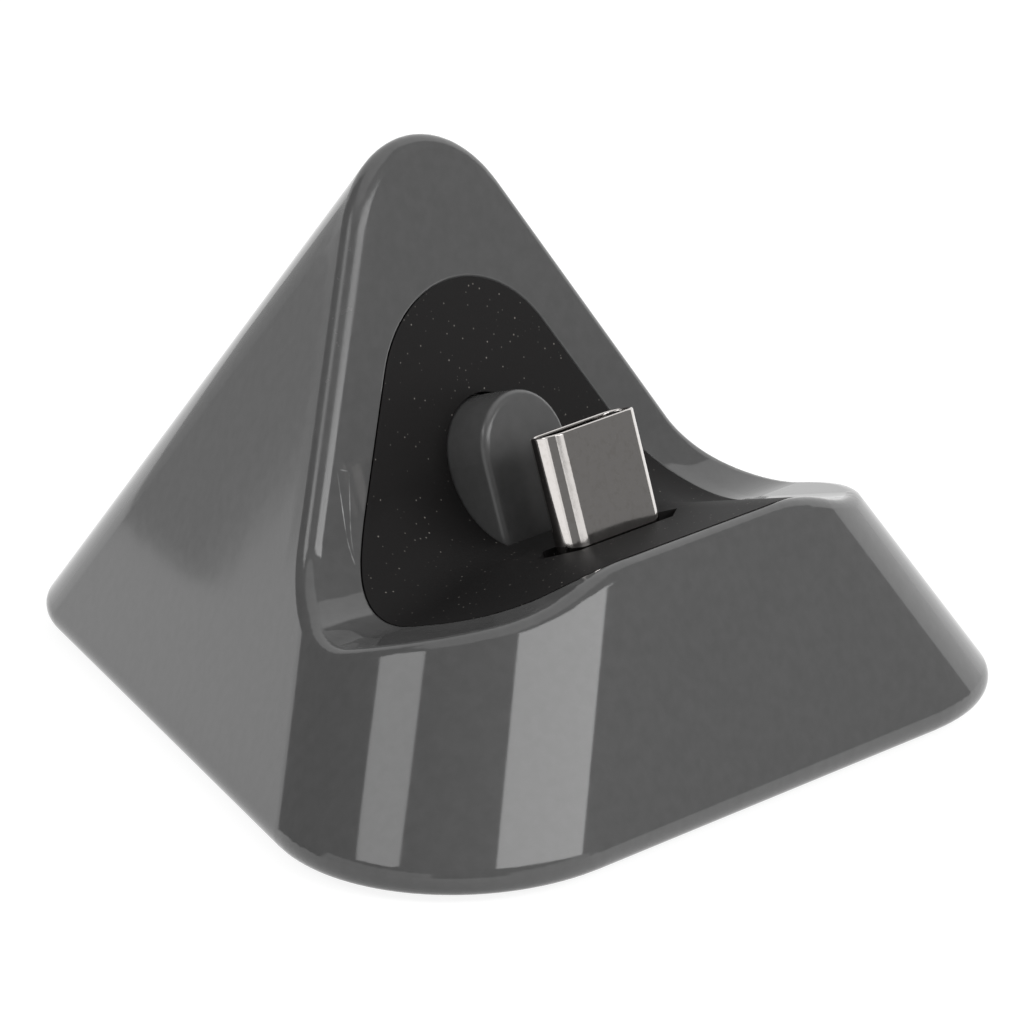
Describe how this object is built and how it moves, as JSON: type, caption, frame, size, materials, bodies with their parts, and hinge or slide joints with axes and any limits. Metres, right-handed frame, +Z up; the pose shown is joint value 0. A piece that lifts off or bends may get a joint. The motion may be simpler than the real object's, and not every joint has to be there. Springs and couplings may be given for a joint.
{
  "type": "charging dock",
  "caption": "Small charging dock: a rounded tetrahedral stand with a rubber-lined notch that holds a handheld upright on a bare plug.",
  "frame": {"origin": "middle of the footprint, on the plane the feet stand on", "axes": "+X to the right seen from the front, +Y to the rear, +Z up"},
  "size_m": [0.0546, 0.0576, 0.0359],
  "materials": {
    "shell_plastic": "polished",
    "pad_rubber": "matt",
    "plug_metal": "satin",
    "insulator": "matt",
    "gold_contact": "plated",
    "board_laminate": "satin",
    "screw_steel": "satin",
    "capacitor_ceramic": "matt",
    "resistor_ceramic": "matt",
    "wire_insulation": "satin",
    "cover_plastic": "satin",
    "foot_rubber": "matt"
  },
  "bodies": {
    "root": {"upper_shell": "shell_plastic", "seat_pad": "pad_rubber", "plug_shell": "plug_metal", "plug_housing": "insulator", "plug_contacts": "gold_contact", "plug_latch": "plug_metal", "plug_carrier": "insulator", "plug_board": "board_laminate", "plug_board_screw_left": "screw_steel", "plug_board_screw_right": "screw_steel", "inlet_shell": "plug_metal", "inlet_tongue": "insulator", "inlet_contacts": "gold_contact", "inlet_board": "board_laminate", "inlet_board_screw_front": "screw_steel", "inlet_board_screw_rear": "screw_steel", "protection_chip": "insulator", "input_capacitors": "capacitor_ceramic", "pull_down_resistors": "resistor_ceramic", "link_wires": "wire_insulation", "base_cover": "cover_plastic", "base_screw_left": "screw_steel", "base_screw_right": "screw_steel", "base_screw_rear": "screw_steel", "foot_left": "foot_rubber", "foot_right": "foot_rubber", "foot_rear": "foot_rubber"}
  },
  "joints": []
}
